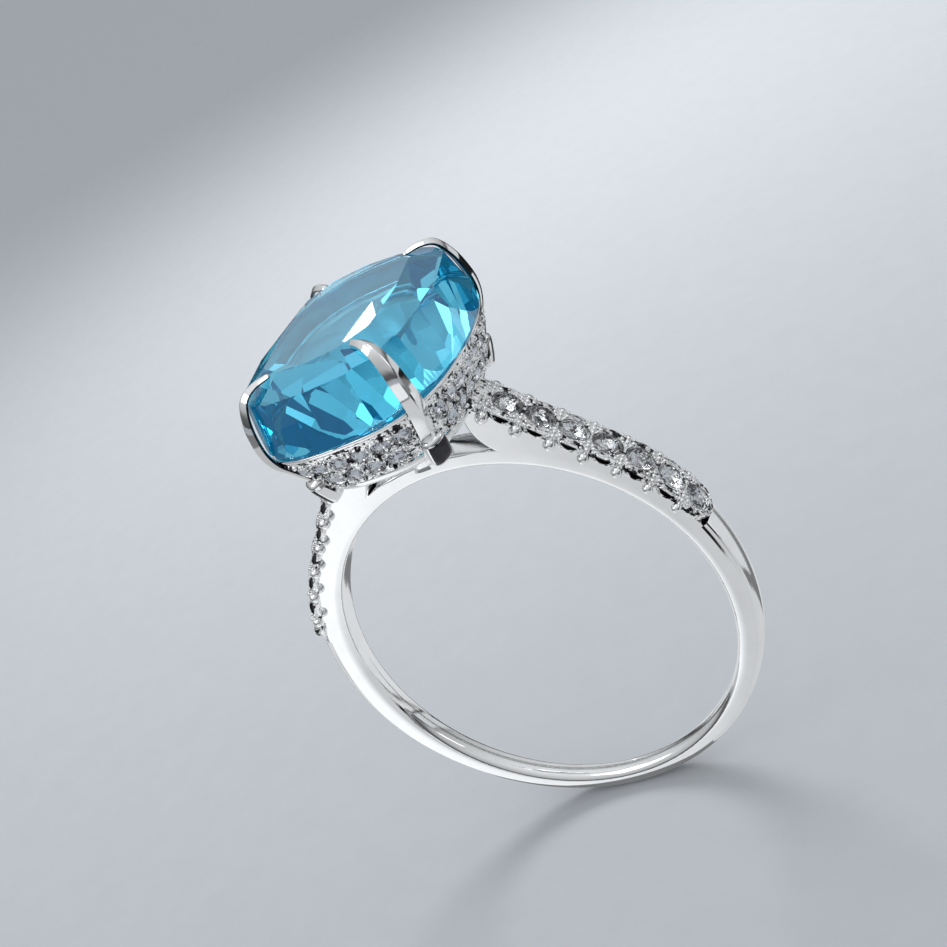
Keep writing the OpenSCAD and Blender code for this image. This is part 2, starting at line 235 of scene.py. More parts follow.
def write_mesh(name, bm, materials, smooth_angle=None):
    """Mesh object from a bmesh in millimetres."""
    bmesh.ops.scale(bm, vec=(MM, MM, MM), verts=bm.verts)
    mesh = bpy.data.meshes.new(name)
    bm.to_mesh(mesh)
    bm.free()
    for material in materials:
        mesh.materials.append(material)
    if smooth_angle is None:
        mesh.shade_flat()
    else:
        mesh.shade_smooth()
        mesh.set_sharp_from_angle(angle=math.radians(smooth_angle))
    piece = bpy.data.objects.new(name, mesh)
    bpy.context.scene.collection.objects.link(piece)
    return piece


def weigh_normals(piece):
    """Keeps flat faces flat beside their rounded edges."""
    modifier = piece.modifiers.new("weights", "WEIGHTED_NORMAL")
    modifier.keep_sharp = True
    modifier.weight = 90


def place(piece, slot, *nodes):
    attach(piece, "root")
    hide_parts(*nodes)
    return piece


def cut(piece, cutter):
    """Takes the cutter's shape out of the piece. The cut's faces keep the cutter's material index."""
    modifier = piece.modifiers.new("cut", "BOOLEAN")
    modifier.operation = "DIFFERENCE"
    modifier.solver = "EXACT"
    modifier.object = cutter
    bpy.context.view_layer.update()
    evaluated = piece.evaluated_get(bpy.context.evaluated_depsgraph_get())
    mesh = bpy.data.meshes.new_from_object(evaluated)
    piece.modifiers.clear()
    old = piece.data
    piece.data = mesh
    mesh.name = old.name
    bpy.data.meshes.remove(old)
    bpy.data.objects.remove(cutter)


def mesh_in_mm(piece):
    bm = bmesh.new()
    bm.from_mesh(piece.data)
    bmesh.ops.scale(bm, vec=(1 / MM, 1 / MM, 1 / MM), verts=bm.verts)
    return bm


def resmooth(piece, angle):
    piece.data.shade_smooth()
    piece.data.set_sharp_from_angle(angle=math.radians(angle))


def ball(bm, center, radius, stretch, here, segments=16, rings=10):
    """Ball at a centre in a local frame; stretch lengthens it along the frame's Z."""
    shape = here @ Matrix.Translation(center) @ Matrix.Diagonal((radius, radius, radius * stretch, 1))
    bmesh.ops.create_uvsphere(bm, u_segments=segments, v_segments=rings, radius=1.0, matrix=shape)


MIRROR_X = Matrix.Diagonal((-1, 1, 1, 1))
SIDES = (("right", Matrix.Identity(4)), ("left", MIRROR_X))


def mirrored(bm, matrix):
    bmesh.ops.transform(bm, matrix=matrix, verts=bm.verts)
    bmesh.ops.recalc_face_normals(bm, faces=bm.faces)


# ---------------------------------------------------------------- hoop


def half_width(z):
    return BOTTOM_HALF_W + WIDTH_SLOPE * (z - BOTTOM_Z)


def ramp(value, start, end):
    """Smooth step from 0 at the start to 1 at the end."""
    share = min(1.0, max(0.0, (value - start) / (end - start)))
    return share * share * (3 - 2 * share)


def radial(angle):
    return Vector((math.sin(math.radians(angle)), 0, math.cos(math.radians(angle))))


def away_from_top(angle):
    return abs(angle if angle <= 180 else angle - 360)


def hoop_outer(angle):
    turn = math.radians(angle)
    return OUTER_RISE * math.cos(turn) + math.sqrt(OUTER_R ** 2 - (OUTER_RISE * math.sin(turn)) ** 2)


def hoop_ring(angle, outer_r):
    """Section of the hoop. The inner edges are soft; the outer edges are sharp where a shoulder sits."""
    away = away_from_top(angle)
    soft = ramp(away, 10, 100)
    in_r, in_y = 0.2 + 0.3 * soft, 0.14 + 0.24 * soft
    free = outer_r > BRIDGE_R + 0.01
    out = 0.14 + 0.12 * ramp(away, 90, 150) if free else 0.1 * (1 - ramp(away, 10, 17))
    crown = OUTER_CROWN if free else 0.0
    groove = GROOVE_D * (1 - ramp(away, 76, 104)) if free else 0.0
    half = []
    steps = 7
    for i in range(3):
        half.append((BORE_R, i / 2, -in_y))
    for i in range(1, steps + 1):
        turn = math.pi / 2 * i / steps
        half.append((BORE_R + in_r * (1 - math.cos(turn)), 1, in_y * (math.sin(turn) - 1)))
    band = outer_r - out - crown - GROOVE_GAP
    # Groove along each side, which fades out below the deck
    half.append((band - 2 * groove, 1, 0))
    half.append((band - groove, 1, -0.9 * groove))
    half.append((band, 1, 0))
    for i in range(steps + 1):
        turn = math.pi / 2 * i / steps
        half.append((outer_r - out * (1 - math.sin(turn)) - crown, 1, -out * (1 - math.cos(turn))))
    for i in range(3):
        share = 1 - (i + 1) / 3
        half.append((outer_r - crown * share * share, share, -out * share))
    points = []
    direction = radial(angle)
    for side in (-1, 1):
        loop = []
        for r, share, inset in half:
            base = r * direction
            width = half_width(base.z)
            loop.append(base + Vector((0, side * (share * width + inset if share else 0), 0)))
        points.append(loop)
    front, back = points
    # The first point and the last point lie on the middle plane and are shared by both halves
    return front + back[::-1][1:-1]


def hoop_angles():
    step = 1.5
    return [i * step for i in range(int(360 / step))]


def build_hoop():
    rings = []
    for angle in hoop_angles():
        away = away_from_top(angle)
        outer = hoop_outer(angle) if away > DECK_END else BRIDGE_R
        if angle == 360 - DECK_END:
            rings.append(hoop_ring(angle, hoop_outer(angle)))
        rings.append(hoop_ring(angle, outer))
        if angle == DECK_END:
            rings.append(hoop_ring(angle, hoop_outer(angle)))
    bm = bmesh.new()
    bridge_rings(bm, rings, closed=True)
    clean(bm)
    piece = write_mesh("hoop_band", bm, [POLISHED], 40)
    weigh_normals(piece)
    place(piece, "polished_metal", "hoop")


# ---------------------------------------------------------------- shoulders

RUN_DIR = Vector((-math.cos(math.radians(DECK_BEND)), 0, math.sin(math.radians(DECK_BEND))))
BEND = DECK_R * radial(DECK_BEND)
RUN = (BEND.x - DECK_INNER_X) / math.cos(math.radians(DECK_BEND))
DECK_LENGTH = RUN + DECK_R * math.radians(DECK_END - DECK_BEND)
PITCH = (DECK_LENGTH - FIRST_PRONG - DECK_RIM) / STONES


def deck_frame(s):
    """Frame on the deck's top at the distance s from the basket: Z is outwards, X runs down the deck."""
    if s < RUN:
        angle, base = DECK_BEND, BEND + (RUN - s) * RUN_DIR
    else:
        angle = DECK_BEND + math.degrees((s - RUN) / DECK_R)
        base = DECK_R * radial(angle)
    return Matrix.Translation(base) @ Matrix.Rotation(math.radians(angle), 4, "Y")


def stone_place(i):
    return FIRST_PRONG + (i - 0.5) * PITCH


def prong_place(i):
    return FIRST_PRONG + (i - 1) * PITCH


def shoulder_outline():
    """Profile of a shoulder in the XZ plane, and the indices of its free inner end."""
    step = 1.5
    foot_angle = math.degrees(math.asin(SHOULDER_FOOT_X / BRIDGE_R))
    arc = [DECK_END - i * step for i in range(int((DECK_END - foot_angle) / step) + 1)] + [foot_angle]
    points = [BRIDGE_R * radial(a) for a in arc]
    start = len(points) - 1
    foot, top = points[-1], Vector((SHOULDER_TOP_X, 0, LOW_Z))
    for i in range(1, 11):
        t = i / 10
        points.append((1 - t) ** 2 * foot + 2 * t * (1 - t) * SHOULDER_WAIST + t * t * top)
    end = len(points) - 1
    points.append(Vector((LOW_A, 0, LOW_Z)))
    points.append(SHOULDER_HEEL)
    under = DECK_R - DECK_T
    points.append(under * radial(DECK_BEND))
    bends = 18
    points += [under * radial(DECK_BEND + (DECK_END - DECK_BEND) * i / bends)
               for i in range(1, bends + 1)]
    return points, start, end


def build_shoulder(side, matrix):
    points, start, end = shoulder_outline()
    bm = bmesh.new()
    loops = []
    for sign in (-1, 1):
        loops.append([bm.verts.new(p + Vector((0, sign * half_width(p.z), 0))) for p in points])
    count = len(points)
    for k in range(count):
        n = (k + 1) % count
        bm.faces.new((loops[0][k], loops[0][n], loops[1][n], loops[1][k]))
    bm.faces.new(loops[0][::-1])
    bm.faces.new(loops[1])
    clean(bm)
    bm.verts.ensure_lookup_table()
    bm.edges.ensure_lookup_table()
    free = {tuple(round(c, 3) for c in (p.x, p.z)) for p in points[start:end + 1]}
    edges = [e for e in bm.edges
             if all(tuple(round(c, 3) for c in (v.co.x, v.co.z)) in free for v in e.verts)
             and abs(e.verts[0].co.y - e.verts[1].co.y) < 0.2]
    bmesh.ops.bevel(bm, geom=edges, offset=0.12, segments=4, affect="EDGES", profile=0.5)
    mirrored(bm, matrix)
    piece = write_mesh(f"{side}_shoulder_web", bm, [POLISHED], 35)
    weigh_normals(piece)
    place(piece, "polished_metal", f"{side}_shoulder")


def deck_half_width(s):
    """Half width of the deck plate: pinched at each pair of prongs, round at the far end."""
    pinch = 0.15 * math.cos(math.pi * (s - FIRST_PRONG) / PITCH) ** 2
    width = DECK_HALF_W - (pinch if s < DECK_LENGTH - DECK_HALF_W else 0)
    over = s - (DECK_LENGTH - DECK_HALF_W)
    if over > 0:
        width = min(width, math.sqrt(max(0.0, DECK_HALF_W ** 2 - over ** 2)))
    return width


def deck_ring(s, shear):
    """Section of the deck plate. The chamfer under each side is the dark line between deck and shoulder."""
    width = max(deck_half_width(s), 0.02)
    lip, chamfer = min(0.06, width / 4), min(0.09, width / 4)
    cut_y, cut_w = width - lip - chamfer, 0.5 * chamfer
    section = [(-width + chamfer, -DECK_T), (-width, -DECK_T + chamfer), (-width, -lip),
               (-width + 0.3 * lip, -0.3 * lip), (-width + lip, 0), (-cut_y - cut_w, 0),
               (-cut_y, -1.6 * cut_w), (-cut_y + cut_w, 0), (0, 0),
               (cut_y - cut_w, 0), (cut_y, -1.6 * cut_w), (cut_y + cut_w, 0),
               (width - lip, 0), (width - 0.3 * lip, -0.3 * lip), (width, -lip),
               (width, -DECK_T + chamfer), (width - chamfer, -DECK_T), (0, -DECK_T)]
    ring = []
    for y, z in section:
        here = deck_frame(s + shear * -z / DECK_T)
        ring.append(here @ Vector((0, y, z)))
    return ring


def small_stone_hull(bm, d, matrix):
    """Round brilliant with its girdle's top edge at height 0 and an uneven hand-cut pavilion."""
    r = d / 2
    # Points in the ring, its turn in steps, its radius and height, and how uneven it is
    rings = ((8, 0.0, 0.46 * r, 0.18 * d, 0), (8, 0.5, 0.76 * r, 0.1 * d, 0.03),
             (16, 0.5, r, 0.0, 0), (16, 0.5, r, -0.035 * d, 0),
             (8, 0.5, 0.72 * r, -0.15 * d, 0.1), (7, 0.0, 0.45 * r, -0.24 * d, 0.12),
             (5, 0.0, 0.2 * r, -0.3 * d, 0.1), (1, 0.0, 0.0, -0.32 * d, 0))
    part = bmesh.new()
    for count, turn, radius, z, jitter in rings:
        for k in range(count):
            angle = 2 * math.pi * (k + turn + 3 * rng.uniform(-jitter, jitter)) / count
            reach = radius + rng.uniform(-jitter, jitter) * r
            part.verts.new((reach * math.cos(angle), reach * math.sin(angle), z))
    bmesh.ops.convex_hull(part, input=part.verts)
    bmesh.ops.delete(part, geom=[v for v in part.verts if not v.link_faces], context="VERTS")
    bmesh.ops.recalc_face_normals(part, faces=part.faces)
    for face in part.faces:
        face.material_index = 1 if face.normal.z < -0.1 else 0
    bmesh.ops.transform(part, matrix=matrix, verts=part.verts)
    mesh = bpy.data.meshes.new("scratch")
    part.to_mesh(mesh)
    part.free()
    bm.from_mesh(mesh)
    bpy.data.meshes.remove(mesh)


def seat_cutter(frames, d, depth):
    """Straight mouths with conical floors, one at each frame."""
    bm = bmesh.new()
    for here in frames:
        r = d / 2 + 0.015
        levels = ((r, 0.6), (r, -0.1), (0.35 * r, -depth))
        rings = []
        for radius, z in levels:
            rings.append([here @ Vector((radius * math.cos(a), radius * math.sin(a), z))
                          for a in circle(28)])
        bridge_rings(bm, rings)
    bmesh.ops.recalc_face_normals(bm, faces=bm.faces)
    for face in bm.faces:
        # The mouths' walls carry painted shade and their floors are bright
        face.material_index = 1 if len(face.verts) == 4 and face.calc_area() > 0.05 * d * d else 0
    return write_mesh("cutter", bm, [POLISHED, RECESS_PAINTED_SHADE])


def arch_cutter():
    """Hollows in the plate's side walls, under both sides of every stone but the last, with painted shade
    on every face.
    """
    bm = bmesh.new()
    for i in range(1, STONES):
        for sign in (-1, 1):
            here = deck_frame(stone_place(i)) @ Matrix.Translation((0, sign * DECK_HALF_W, HOLLOW_Z))
            rings = [[here @ Vector((HOLLOW_HALF_L * math.cos(a), y, HOLLOW_HALF_H * math.sin(a)))
                      for a in circle(24)] for y in (-0.12, 0.12)]
            bridge_rings(bm, rings)
    bmesh.ops.recalc_face_normals(bm, faces=bm.faces)
    for face in bm.faces:
        face.material_index = 1
    return write_mesh("cutter", bm, [POLISHED, RECESS_PAINTED_SHADE])


def add_rims(bm):
    """U-shaped rims that hang round the hollows at the plate's sides."""
    steps = 14
    for i in range(1, STONES):
        middle = stone_place(i)
        for sign in (-1, 1):
            rings = []
            for k in range(steps + 1):
                turn = math.pi * (1 + k / steps)
                ring = []
                for a in circle(8):
                    reach = 1 + RIM_T / 0.4 * math.cos(a)
                    s = middle + RIM_HALF_L * reach * math.cos(turn)
                    y = deck_half_width(middle + RIM_HALF_L * math.cos(turn)) + RIM_T * math.sin(a)
                    z = 0.02 + RIM_DROP * reach * math.sin(turn)
                    ring.append(deck_frame(s) @ Vector((0, sign * y, z)))
                rings.append(ring)
            bridge_rings(bm, rings)


def build_deck(side, matrix):
    stops = []
    s = DECK_START
    while s < DECK_LENGTH - DECK_TIP:
        stops.append(s)
        s += 0.09
    # The sections come closer over the round tip
    stops += [DECK_LENGTH - DECK_TIP * (1 - math.sin(math.pi / 2 * i / 10)) for i in range(11)]
    bm = bmesh.new()
    # The plate's first end leans with the basket
    bridge_rings(bm, [deck_ring(s, 0.175 * (1 - ramp(s, DECK_START, 0.8))) for s in stops])
    clean(bm)
    plate = write_mesh(f"{side}_deck_plate", bm, [CRUST_PAINTED_PIT_SHADE, RECESS_PAINTED_SHADE], 35)
    seats = [deck_frame(stone_place(i)) for i in range(1, STONES + 1)]
    cut(plate, seat_cutter(seats, SMALL_D, SMALL_SEAT_D))
    cut(plate, arch_cutter())
    bm = mesh_in_mm(plate)
    add_rims(bm)
    bmesh.ops.transform(bm, matrix=matrix, verts=bm.verts)
    if side == "left":
        bmesh.ops.reverse_faces(bm, faces=bm.faces)
    bmesh.ops.scale(bm, vec=(MM, MM, MM), verts=bm.verts)
    bm.to_mesh(plate.data)
    bm.free()
    resmooth(plate, 35)
    weigh_normals(plate)
    place(plate, "polished_metal", f"{side}_pave_deck")


def bead_radius(i):
    """The side prongs' bulbs are biggest beside the basket."""
    return 0.29 - 0.07 * (i - 1) / (STONES - 1)


def build_prongs(side, matrix):
    for end, sign in (("front", -1), ("back", 1)):
        bm = bmesh.new()
        for i in range(1, STONES + 1):
            here = deck_frame(prong_place(i))
            radius = bead_radius(i)
            # Bulb below the plate's edge, slim neck, and the head that holds the stones
            ball(bm, (0, sign * PRONG_Y, BULB_Z), radius, 1.0, here)
            neck = [[here @ Vector((NECK_R * math.cos(a), sign * NECK_Y + NECK_R * math.sin(a), z))
                     for a in circle(16)] for z in (-0.3, 0.02)]
            bridge_rings(bm, neck)
            for y, z, size in ((0.92, -0.01, 0.12), (0.62, 0.0, 0.12), (0.36, -0.02, 0.09)):
                ball(bm, (0, sign * y, z), size, 0.8, here, segments=12, rings=8)
            for step in (-0.26, 0.26):
                for y, size in ((0.95, 0.07), (0.7, 0.1), (0.5, 0.08)):
                    there = deck_frame(prong_place(i) + step * (1 if y > 0.6 else 0.7))
                    ball(bm, (0, sign * y, 0.0), size, 0.7, there, segments=12, rings=8)
        clean(bm)
        mirrored(bm, matrix)
        piece = write_mesh(f"{side}_{end}_prong_beads", bm, [POLISHED], 60)
        place(piece, "polished_metal", f"{side}_{end}_prongs")


def build_deck_stones(side, matrix):
    for i in range(1, STONES + 1):
        bm = bmesh.new()
        spin = Matrix.Rotation(math.radians(22.5 * rng.random()), 4, "Z")
        small_stone_hull(bm, SMALL_D, matrix @ deck_frame(stone_place(i)) @ spin)
        bmesh.ops.recalc_face_normals(bm, faces=bm.faces)
        piece = write_mesh(f"{side}_brilliant_{i}", bm, [CLEAR, MARKED_FOIL])
        place(piece, "clear_stone", f"{side}_stone_{i}")


# ---------------------------------------------------------------- basket


def sign_power(value, power):
    return math.copysign(abs(value) ** power, value)


def outline_point(a, b, t):
    return Vector((a * sign_power(math.cos(t), 2 / SQUARE), b * sign_power(math.sin(t), 2 / SQUARE), 0))


def path_lengths(points):
    """Distance along the points, from the first to each."""
    travelled = [0.0]
    for p, q in zip(points, points[1:]):
        travelled.append(travelled[-1] + (q - p).length)
    return travelled


def outline_angles(count):
    """Outline angles spaced evenly along a typical outline."""
    fine = 2880
    travelled = path_lengths([outline_point(3.7, 4.6, 2 * math.pi * i / fine) for i in range(fine + 1)])
    angles, k = [], 0
    for j in range(count):
        goal = travelled[-1] * j / count
        while travelled[k + 1] < goal:
            k += 1
        share = (goal - travelled[k]) / (travelled[k + 1] - travelled[k])
        angles.append(2 * math.pi * (k + share) / fine)
    return angles


AROUND = outline_angles(160)


def basket_size(z):
    share = (z - LOW_Z) / (HIGH_Z - LOW_Z)
    return LOW_A + (HIGH_A - LOW_A) * share, LOW_B + (HIGH_B - LOW_B) * share


def oval(a, b, z, inset=0.0):
    """Loop of the rounded rectangle at height z, moved inwards by inset along its normals."""
    base = [outline_point(a, b, t) for t in AROUND]
    loop = []
    for k, p in enumerate(base):
        tangent = base[(k + 1) % len(base)] - base[k - 1]
        inward = Vector((-tangent.y, tangent.x, 0)).normalized()
        loop.append(p + inset * inward + Vector((0, 0, z)))
    return loop


def swept_oval(section):
    """Closed band round the basket from (a, b, z, inset) corners of its section."""
    return [oval(a, b, z, inset) for a, b, z, inset in section]


def rounded_section(z0, z1, thickness, corner, steps=4):
    """Rounded-rectangle section of a band that leans with the basket."""
    corners = ((z0 + corner, corner, 180, 270), (z0 + corner, thickness - corner, 270, 360),
               (z1 - corner, thickness - corner, 0, 90), (z1 - corner, corner, 90, 180))
    section = []
    for z, inset, start, end in corners:
        for i in range(steps + 1):
            turn = math.radians(start + (end - start) * i / steps)
            height = z + corner * math.sin(turn)
            a, b = basket_size(height)
            section.append((a, b, height, inset + corner * math.cos(turn)))
    return section


def build_rail(name, node, z0, z1, thickness, corner):
    bm = bmesh.new()
    bridge_rings(bm, swept_oval(rounded_section(z0, z1, thickness, corner)), closed=True)
    clean(bm)
    piece = write_mesh(name, bm, [POLISHED], 50)
    place(piece, "polished_metal", node)


def catmull(points, steps):
    """Smooth line through the points, which are tuples of any length."""
    line = []
    last = len(points) - 1
    for k in range(last):
        p0, p1, p2, p3 = (points[max(0, min(last, j))] for j in (k - 1, k, k + 1, k + 2))
        for i in range(steps):
            u = i / steps
            line.append(tuple(0.5 * (2 * b + (c - a) * u + (2 * a - 5 * b + 4 * c - d) * u * u
                                     + (3 * b - a - 3 * c + d) * u ** 3)
                              for a, b, c, d in zip(p0, p1, p2, p3)))
    line.append(tuple(points[last]))
    return line


# Claw in the +X +Y corner: x, y, z of its middle line, half width, ridge depth, back depth
CLAW = ((2.5, 3.45, 10.85, 0.36, 0.2, 0.12), (2.72, 3.72, 11.6, 0.38, 0.21, 0.12),
        (3.05, 4.08, 12.4, 0.4, 0.23, 0.12), (3.38, 4.46, 13.2, 0.42, 0.25, 0.12),
        (3.5, 4.6, 13.9, 0.42, 0.25, 0.12), (3.46, 4.61, 14.6, 0.4, 0.24, 0.12),
        (3.35, 4.52, 15.35, 0.36, 0.22, 0.12), (3.07, 4.32, 16.1, 0.3, 0.19, 0.11),
        (2.62, 3.97, 16.4, 0.24, 0.15, 0.1), (2.12, 3.6, 16.44, 0.19, 0.12, 0.08))


def claw_section(w, d, back):
    """Ridged section: two bright faces that meet in a soft ridge, and a flat back."""
    soft = 0.1
    span = math.sqrt(1 + soft * soft) - soft
    points = []
    steps = 12
    for i in range(steps + 1):
        u = -1 + 2 * i / steps
        rise = 1 - (math.sqrt(u * u + soft * soft) - soft) / span
        bulge = 0.22 * (1 - u * u)
        points.append((w * u, d * (0.78 * rise + bulge)))
    points += [(0.97 * w, -0.45 * back), (0.8 * w, -0.85 * back), (0.5 * w, -back),
               (-0.5 * w, -back), (-0.8 * w, -0.85 * back), (-0.97 * w, -0.45 * back)]
    return points


def build_claw(name, node, matrix):
    line = catmull(CLAW, 6)
    outward = Vector((LOW_B, LOW_A, 0)).normalized()
    level = Vector((-outward.y, outward.x, 0))
    rings = []
    spots = [Vector(p[:3]) for p in line]

    def ring(k, center, scale):
        ahead, behind = spots[min(k + 1, len(spots) - 1)], spots[max(k - 1, 0)]
        along = (ahead - behind).normalized()
        across = (level - along * level.dot(along)).normalized()
        out = across.cross(along)
        w, d, back = line[k][3:]
        return along, [center + scale * (-x * across + y * out) for x, y in claw_section(w, d, back)]

    # Rounded foot, body, rounded tip
    along, _ = ring(0, spots[0], 1)
    for i in range(4):
        turn = math.pi / 2 * i / 4
        rings.append(ring(0, spots[0] - 0.14 * math.cos(turn) * along, 0.5 + 0.5 * math.sin(turn))[1])
    for k in range(len(line)):
        rings.append(ring(k, spots[k], 1)[1])
    last = len(line) - 1
    along, _ = ring(last, spots[last], 1)
    for i in range(1, 6):
        turn = math.pi / 2 * i / 5.4
        rings.append(ring(last, spots[last] + 0.2 * math.sin(turn) * along, math.cos(turn))[1])
    bm = bmesh.new()
    rows = bridge_rings(bm, rings)
    # The narrow sides of the claw are painted dark: painted shade and reflection
    sides = {vert for row in rows for j, vert in enumerate(row) if j in (12, 13, 14, 17, 18, 0)}
    for face in bm.faces:
        if all(vert in sides for vert in face.verts):
            face.material_index = 1
    # Barrel-shaped knob at the foot
    up = (spots[5] - spots[0]).normalized()
    across = up.cross(outward).normalized()
    turned = Matrix((across, across.cross(up), up)).transposed().to_4x4()
    core = Matrix.Translation(spots[0] + 0.4 * up + 0.1 * outward) @ turned
    barrel = ((0.3, -0.68), (0.44, -0.62), (0.51, -0.5), (0.54, -0.2), (0.54, 0.25), (0.51, 0.52),
              (0.44, 0.64), (0.3, 0.7))
    known = len(bm.faces)
    bulge = [(sign_power(math.cos(a), 0.75), 0.85 * sign_power(math.sin(a), 0.75)) for a in circle(32)]
    bridge_rings(bm, [[core @ Vector((r * x, r * y, z)) for x, y in bulge] for r, z in barrel])
    bm.faces.ensure_lookup_table()
    # The knob's front window is painted dark: a painted reflection
    for face in bm.faces[known:]:
        middle = core.inverted() @ face.calc_center_median()
        face.material_index = 1 if middle.y > 0.26 and abs(middle.z) < 0.55 else 0
    mirrored(bm, matrix)
    clean(bm)
    piece = write_mesh(name, bm, [POLISHED, PAINTED_SHADE_AND_REFLECTION], 50)
    place(piece, "polished_metal", node)


def claw_point(z):
    """Plan position of the claw's middle line at the height z."""
    below = [p for p in CLAW if p[2] <= z][-1]
    above = [p for p in CLAW if p[2] > z][0]
    share = (z - below[2]) / (above[2] - below[2])
    return below[0] + share * (above[0] - below[0]), below[1] + share * (above[1] - below[1])


def gallery_frame(t, z):
    """Frame on the gallery wall, with local Z outwards and local Y up the wall."""
    a, b = basket_size(z)
    here = outline_point(a, b, t)
    ahead, behind = outline_point(a, b, t + 0.01), outline_point(a, b, t - 0.01)
    tangent = (ahead - behind).normalized()
    lean = math.atan2(HIGH_A - LOW_A, HIGH_Z - LOW_Z)
    outward = Vector((tangent.y, -tangent.x, 0))
    normal = (outward * math.cos(lean) - Vector((0, 0, math.sin(lean)))).normalized()
    up = normal.cross(tangent)
    frame_3 = Matrix((tangent, up, normal)).transposed().to_4x4()
    return Matrix.Translation(here + Vector((0, 0, z))) @ frame_3


def row_angles(z, places, shift, clearance):
    """Angles spaced evenly round the basket at height z, without those that the claws cover."""
    a, b = basket_size(z)
    fine = 1440
    points = [outline_point(a, b, 2 * math.pi * i / fine) for i in range(fine + 1)]
    travelled = path_lengths(points)
    angles = []
    claw_x, claw_y = claw_point(z)
    for j in range(places):
        goal = travelled[-1] * (j + shift) / places
        k = max(i for i in range(fine) if travelled[i] <= goal)
        p = points[k]
        if math.hypot(abs(p.x) - claw_x, abs(p.y) - claw_y) > clearance:
            angles.append(2 * math.pi * k / fine)
    return angles


# Grain beads in each row: height from the row, shift along it, and beads for each stone
GRAIN_LINES = ((-0.4, 0.25, 2), (-0.24, 1.0, 1), (0.0, 1.0, 1), (0.24, 1.0, 1), (0.42, 0.25, 3))


def gallery_set():
    """Frames of the gallery stones, one list for each side of the basket."""
    sets = {"right": [], "back": [], "left": [], "front": []}
    for z, places, clearance in ROWS:
        for t in row_angles(z, places, 0.5, clearance):
            turn = (math.degrees(t) + 45) % 360
            sets[("right", "back", "left", "front")[int(turn // 90)]].append(gallery_frame(t, z))
    return sets


def build_gallery():
    sets = gallery_set()
    frames = [here for group in sets.values() for here in group]
    bm = bmesh.new()
    bridge_rings(bm, swept_oval(rounded_section(LOW_Z + RAIL_H - 0.05, HIGH_Z + 0.2, WALL_T, 0.05, 2)),
                 closed=True)
    clean(bm)
    # The lower edge arches up beside each claw
    for vert in bm.verts:
        low = 1 - ramp(vert.co.z, LOW_Z + RAIL_H, LOW_Z + RAIL_H + 0.7)
        if low > 0:
            turn = math.atan2(abs(vert.co.y) / LOW_B, abs(vert.co.x) / LOW_A)
            vert.co.z += 0.12 * ramp(abs(turn - math.pi / 4), 0.62, 0.2) * low
    wall = write_mesh("gallery_band", bm, [CRUST_PAINTED_PIT_SHADE, RECESS_PAINTED_SHADE], 40)
    cut(wall, seat_cutter(frames, GALLERY_D, GALLERY_SEAT_D))
    # Grain beads between the stones, raised from the wall
    bm = mesh_in_mm(wall)
    for z, places, _ in ROWS:
        for rise, share, count in GRAIN_LINES:
            for t in row_angles(z + rise, count * places, share, 0.5):
                here = gallery_frame(t, z + rise)
                wobble = Vector((rng.uniform(-0.05, 0.05), rng.uniform(-0.05, 0.05), 0.0))
                ball(bm, wobble, rng.uniform(0.08, 0.14), rng.uniform(0.9, 1.3), here,
                     segments=8, rings=6)
    # The side that faces the big stone is smooth
    inset = 0.32
    for face in bm.faces:
        x, y, z = face.calc_center_median()
        a, b = basket_size(z)
        if (abs(x) / (a - inset)) ** SQUARE + (abs(y) / (b - inset)) ** SQUARE < 1:
            face.material_index = 2
    old = wall.data
    bpy.data.objects.remove(wall)
    bpy.data.meshes.remove(old)
    wall = write_mesh("gallery_band", bm, [CRUST_PAINTED_PIT_SHADE, RECESS_PAINTED_SHADE, SATIN], 40)
    place(wall, "polished_metal", "gallery_wall")
    for side, group in sets.items():
        bm = bmesh.new()
        for here in group:
            spin = Matrix.Rotation(rng.random() * math.pi / 4, 4, "Z")
            small_stone_hull(bm, GALLERY_D, here @ spin)
        bmesh.ops.recalc_face_normals(bm, faces=bm.faces)
        piece = write_mesh(f"gallery_brilliants_{side}", bm, [CLEAR, FOIL])
        place(piece, "clear_stone", f"gallery_stones_{side}")


def build_base():
    """Hollow cup between the bridge and the lower rail, with a flared profile."""
    outer = ((0.85, 0.95, 9.05), (0.85, 0.95, 9.34), (1.05, 1.25, 9.55), (1.5, 1.85, 9.9),
             (2.1, 2.65, 10.32), (2.6, 3.32, 10.68), (2.72, 3.5, 10.78))
    inner = ((2.4, 3.18, 10.78), (1.9, 2.45, 10.4), (1.2, 1.5, 10.0), (0.4, 0.5, 9.8))
    profile = catmull(outer, 5) + catmull(inner, 4)
    bm = bmesh.new()
    bridge_rings(bm, [oval(a, b, z) for a, b, z in profile])
    clean(bm)
    bm.normal_update()
    for face in bm.faces:
        face.material_index = 1 if face.normal.z > 0.2 and face.calc_center_median().z > 9.7 else 0
    piece = write_mesh("basket_cup", bm, [POLISHED, SATIN], 50)
    place(piece, "polished_metal", "basket_base")


# ---------------------------------------------------------------- centre stone


def support(a, b, turn):
    """Distance of the outline's tangent line whose normal has the plan angle turn."""
    power = SQUARE / (SQUARE - 1)
    return ((a * abs(math.cos(turn))) ** power + (b * abs(math.sin(turn))) ** power) ** (1 / power)


